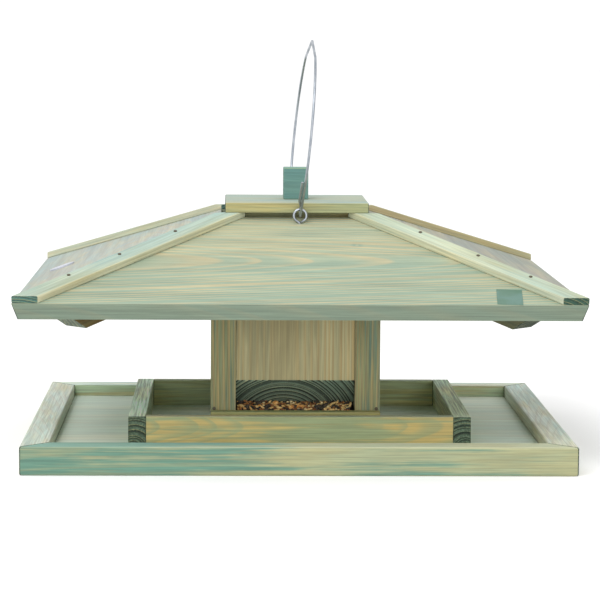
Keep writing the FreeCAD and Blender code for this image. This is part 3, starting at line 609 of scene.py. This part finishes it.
def makeEye(label):
    low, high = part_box(label)
    radius = eyeLooks["radius"]
    centre = Vector(((low.x + high.x) / 2, (low.y + high.y) / 2,
                     high.z - radius - eyeLooks["wire"]))
    across = Matrix.Rotation(math.radians(eyeLooks["turn"]), 3, "Z") @ xAxis
    opening = math.radians(eyeLooks["opening"])
    pinch = eyeLooks["pinch"]
    closing = zAxis * (radius + pinch)  # the ring's ends meet in a V over the shank
    path = [centre + across * pinch - closing]
    for step in range(eyeLooks["steps"] + 1):
        angle = opening + (math.tau - 2 * opening) * step / eyeLooks["steps"]
        path.append(centre + (across * math.sin(angle) - zAxis * math.cos(angle)) * radius)
    path.append(centre - across * pinch - closing)
    path.append(centre - across * pinch * eyeLooks["neckPinch"]
                - zAxis * (radius + eyeLooks["neckDrop"] * pinch))
    path.append(Vector((centre.x, centre.y, low.z)))
    eye = bpy.data.objects.new(label + "_wire",
                               tubeMesh(label + "_wire", path, eyeLooks["wire"],
                                        eyeLooks["sides"]))
    scene.collection.objects.link(eye)
    setMaterial(eye, finishes["zinc_wire"])
    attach(eye, "feeder")
    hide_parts(label)


for label in ("front_screw_eye", "back_screw_eye"):
    makeEye(label)
for label in ("batten_nails", "tray_nails", "post_nails", "floor_screws", "knob_screw"):
    setMaterial(nodes[label], finishes["nail_steel"])
setMaterial(nodes["blank_label"], finishes["label_plastic"])
setMaterial(nodes["round_tag"], finishes["tag_plastic"])
roundEdges(nodes["blank_label"], 0.0002)
print("metal and plastic finished")


# Seed: loose grains lie in both slots and on top, over one block of packed seed, coloured near
# black as painted shade in the gaps between the grains.

seedLooks = {
    "randomSeed": 5, "spacing": 0.0046, "nearest": 1.0, "farthest": 1.6, "jitter": 0.0012,
    "layers": 3, "layerDrop": 0.0018, "endGap": 0.004, "slotGap": 0.001, "topGap": 0.003,
    "waveScale": 45, "waveHeight": 0.0016, "turn": 0.7, "tilt": 0.55,
    "smallest": 0.82, "largest": 1.12, "point": 0.5,
    # the heap's outline: half depths of the slots, and the heights of the loose seed
    "outer": 0.1215, "inner": 0.0905, "low": 0.0495, "high": 0.057, "top": 0.1335,
    # the block's faces, beyond the outer slot edge and below the loose seed
    "blockSpread": 0.001, "lowDrop": 0.003, "highDrop": 0.004, "topDrop": 0.002,
    # the block's near-black colour is painted shade, seen through the gaps between the loose
    # grains
    "block": {"first": (0.03, 0.018, 0.01), "second": (0.01, 0.006, 0.004), "scale": 330,
              "smooth": 0.6, "rough": 0.8, "metallic": 0.0, "bump": 0.6},
    "grain": {"scale": 420, "smooth": 0.45, "rough": 0.7, "metallic": 0.0, "bump": 0.1},
    "kinds": [
        {"name": "sunflower", "size": (0.0110, 0.0048, 0.0032), "share": 0.24, "pointed": True,
         "first": (0.012, 0.01, 0.008), "second": (0.10, 0.075, 0.05)},
        {"name": "oat", "size": (0.0100, 0.0030, 0.0026), "share": 0.28, "pointed": True,
         "first": (0.92, 0.66, 0.28), "second": (0.72, 0.42, 0.14)},
        {"name": "wheat", "size": (0.0085, 0.0034, 0.0030), "share": 0.28, "pointed": True,
         "first": (0.42, 0.18, 0.05), "second": (0.16, 0.06, 0.02)},
        {"name": "maize", "size": (0.0068, 0.0054, 0.0038), "share": 0.08, "pointed": False,
         "first": (0.75, 0.30, 0.05), "second": (0.80, 0.50, 0.20)},
        {"name": "millet", "size": (0.0036, 0.0032, 0.0032), "share": 0.12, "pointed": False,
         "first": (0.95, 0.78, 0.42), "second": (0.7, 0.48, 0.2)}]}


def seedBall():
    shape = bmesh.new()
    bmesh.ops.create_icosphere(shape, subdivisions=2, radius=0.5)
    shape.verts.ensure_lookup_table()
    points = [v.co.copy() for v in shape.verts]
    faces = [[v.index for v in f.verts] for f in shape.faces]
    shape.free()
    return points, faces


def seedLevel(y):  # the loose seed's height in a slot, rising under the bevelled boards
    outer, inner = seedLooks["outer"], seedLooks["inner"]
    share = (outer - abs(y)) / (outer - inner)
    return seedLooks["low"] + (seedLooks["high"] - seedLooks["low"]) * min(1, max(0, share))


def blockOutline(floorLevel):
    edge = seedLooks["outer"] + seedLooks["blockSpread"]
    inner = seedLooks["inner"]
    right = [(edge, floorLevel), (edge, seedLooks["low"] - seedLooks["lowDrop"]),
             (inner, seedLooks["high"] - seedLooks["highDrop"]),
             (inner, seedLooks["top"] - seedLooks["topDrop"])]
    return [(-edge, floorLevel), *right, *((-y, z) for y, z in reversed(right[1:]))]


def makeSeeds():
    low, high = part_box("seed_fill")
    chance = random.Random(seedLooks["randomSeed"])
    ball, faces = seedBall()
    seedKinds = seedLooks["kinds"]
    shares = [kind["share"] for kind in seedKinds]
    verts = []
    polys = []
    slots = []

    def addSeed(spot):
        index = chance.choices(range(len(shares)), shares)[0]
        kind = seedKinds[index]
        size = Vector(kind["size"]) * chance.uniform(seedLooks["smallest"], seedLooks["largest"])
        turn = (Matrix.Rotation(chance.gauss(0, seedLooks["turn"]), 3, "Z")
                @ Matrix.Rotation(chance.gauss(0, seedLooks["tilt"]), 3, "Y")
                @ Matrix.Rotation(chance.gauss(0, seedLooks["tilt"]), 3, "X"))
        start = len(verts)
        for co in ball:
            taper = 1 - seedLooks["point"] * max(0, co.x * 2) ** 2 if kind["pointed"] else 1
            verts.append(spot + turn @ Vector((co.x * size.x, co.y * size.y * taper,
                                               co.z * size.z * taper)))
        for face in faces:
            polys.append([start + i for i in face])
            slots.append(index)

    def scatter(fromY, toY, height, layers):
        jitter = seedLooks["jitter"]
        frequency = seedLooks["waveScale"]
        for layer in range(layers):
            y = fromY
            while y < toY:
                x = low.x + seedLooks["endGap"]
                while x < high.x - seedLooks["endGap"]:
                    wave = noise.noise(Vector((x * frequency, y * frequency, 3.0)))
                    level = height(y) + wave * seedLooks["waveHeight"]
                    addSeed(Vector((x + chance.uniform(-jitter, jitter),
                                    y + chance.uniform(-jitter, jitter),
                                    level - seedLooks["layerDrop"] * layer)))
                    x += seedLooks["spacing"] * chance.uniform(seedLooks["nearest"],
                                                               seedLooks["farthest"])
                y += seedLooks["spacing"]

    outer = seedLooks["outer"] - seedLooks["slotGap"]
    inner = seedLooks["inner"]
    topEdge = inner - seedLooks["topGap"]
    scatter(-outer, -inner, seedLevel, seedLooks["layers"])
    scatter(inner, outer, seedLevel, seedLooks["layers"])
    scatter(-topEdge, topEdge, lambda y: seedLooks["top"], 1)

    outline = blockOutline(low.z)
    start = len(verts)
    count = len(outline)
    for x in (low.x, high.x):
        verts.extend(Vector((x, y, z)) for y, z in outline)
    polys.append([start + i for i in reversed(range(count))])
    polys.append([start + count + i for i in range(count)])
    for i in range(count):
        j = (i + 1) % count
        polys.append([start + i, start + j, start + count + j, start + count + i])
    slots.extend([len(shares)] * (count + 2))

    mesh = bpy.data.meshes.new("seed_mix")
    mesh.from_pydata(verts, [], polys)
    for poly, slot in zip(mesh.polygons, slots):
        poly.material_index = slot
        poly.use_smooth = slot < len(shares)
    for kind in seedKinds:
        mesh.materials.append(mottledFinish("seed_" + kind["name"], dict(
            seedLooks["grain"], first=kind["first"], second=kind["second"])))
    mesh.materials.append(mottledFinish("seed_bulk_shade", seedLooks["block"]))
    piece = bpy.data.objects.new("seed_mix", mesh)
    scene.collection.objects.link(piece)
    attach(piece, "feeder")
    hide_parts("seed_fill")
    return piece


seedMix = makeSeeds()
print("seed finished:", len(seedMix.data.polygons), "faces")


# Floor, light and camera.

studio = {"floorSize": 60.0, "floorColour": (0.96, 0.96, 0.96), "floorRoughness": 0.9,
          "skyStrength": 1.08, "aim": (0, 0, 0.2),
          "keyPlace": (-1.3, -2.1, 3.0), "keySize": 2.2, "keyPower": 60,
          "frontPlace": (0.9, -4.2, 0.5), "frontSize": 2.6, "frontPower": 25}


def makeFloor():
    mesh = bpy.data.meshes.new("studio_floor")
    half = studio["floorSize"] / 2
    mesh.from_pydata([(-half, -half, 0), (half, -half, 0), (half, half, 0), (-half, half, 0)],
                     [], [(0, 1, 2, 3)])
    floor = bpy.data.objects.new("studio_floor", mesh)
    scene.collection.objects.link(floor)
    mesh.materials.append(plainFinish("floor_paint", studio["floorColour"],
                                      studio["floorRoughness"])[0])


def makeLight(name, place, width, power):
    lamp = bpy.data.lights.new(name, "AREA")
    lamp.size = width
    lamp.energy = power
    holder = bpy.data.objects.new(name, lamp)
    scene.collection.objects.link(holder)
    holder.location = place
    holder.rotation_euler = (Vector(studio["aim"]) - holder.location).to_track_quat(
        "-Z", "Y").to_euler()


makeFloor()
makeLight("key_softbox", studio["keyPlace"], studio["keySize"], studio["keyPower"])
makeLight("front_softbox", studio["frontPlace"], studio["frontSize"], studio["frontPower"])

world = bpy.data.worlds.new("soft_sky")
world.use_nodes = True
sky = world.node_tree.nodes["Background"].inputs
sky["Color"].default_value = (1, 1, 1, 1)
sky["Strength"].default_value = studio["skyStrength"]
scene.world = world

view = {"lens": 154.53, "place": (-0.0738, -2.9276, 0.4692), "near": 0.05, "far": 200,
        "yaw": 1.558, "down": 6.022, "roll": 0.365}


def makeCamera():
    camera = bpy.data.objects.new("front_camera", bpy.data.cameras.new("front_camera"))
    scene.collection.objects.link(camera)
    camera.data.lens = view["lens"]
    camera.data.clip_start = view["near"]
    camera.data.clip_end = view["far"]
    yaw = math.radians(view["yaw"])
    down = math.radians(view["down"])
    ahead = Vector((math.sin(yaw) * math.cos(down), math.cos(yaw) * math.cos(down),
                    -math.sin(down)))
    right = Vector((math.cos(yaw), -math.sin(yaw), 0))
    up = right.cross(ahead)
    tilt = Matrix.Rotation(math.radians(view["roll"]), 4, "Z")
    axes = Matrix((right, up, -ahead)).transposed().to_4x4()
    camera.matrix_world = Matrix.Translation(view["place"]) @ axes @ tilt
    scene.camera = camera


makeCamera()
print("studio ready")
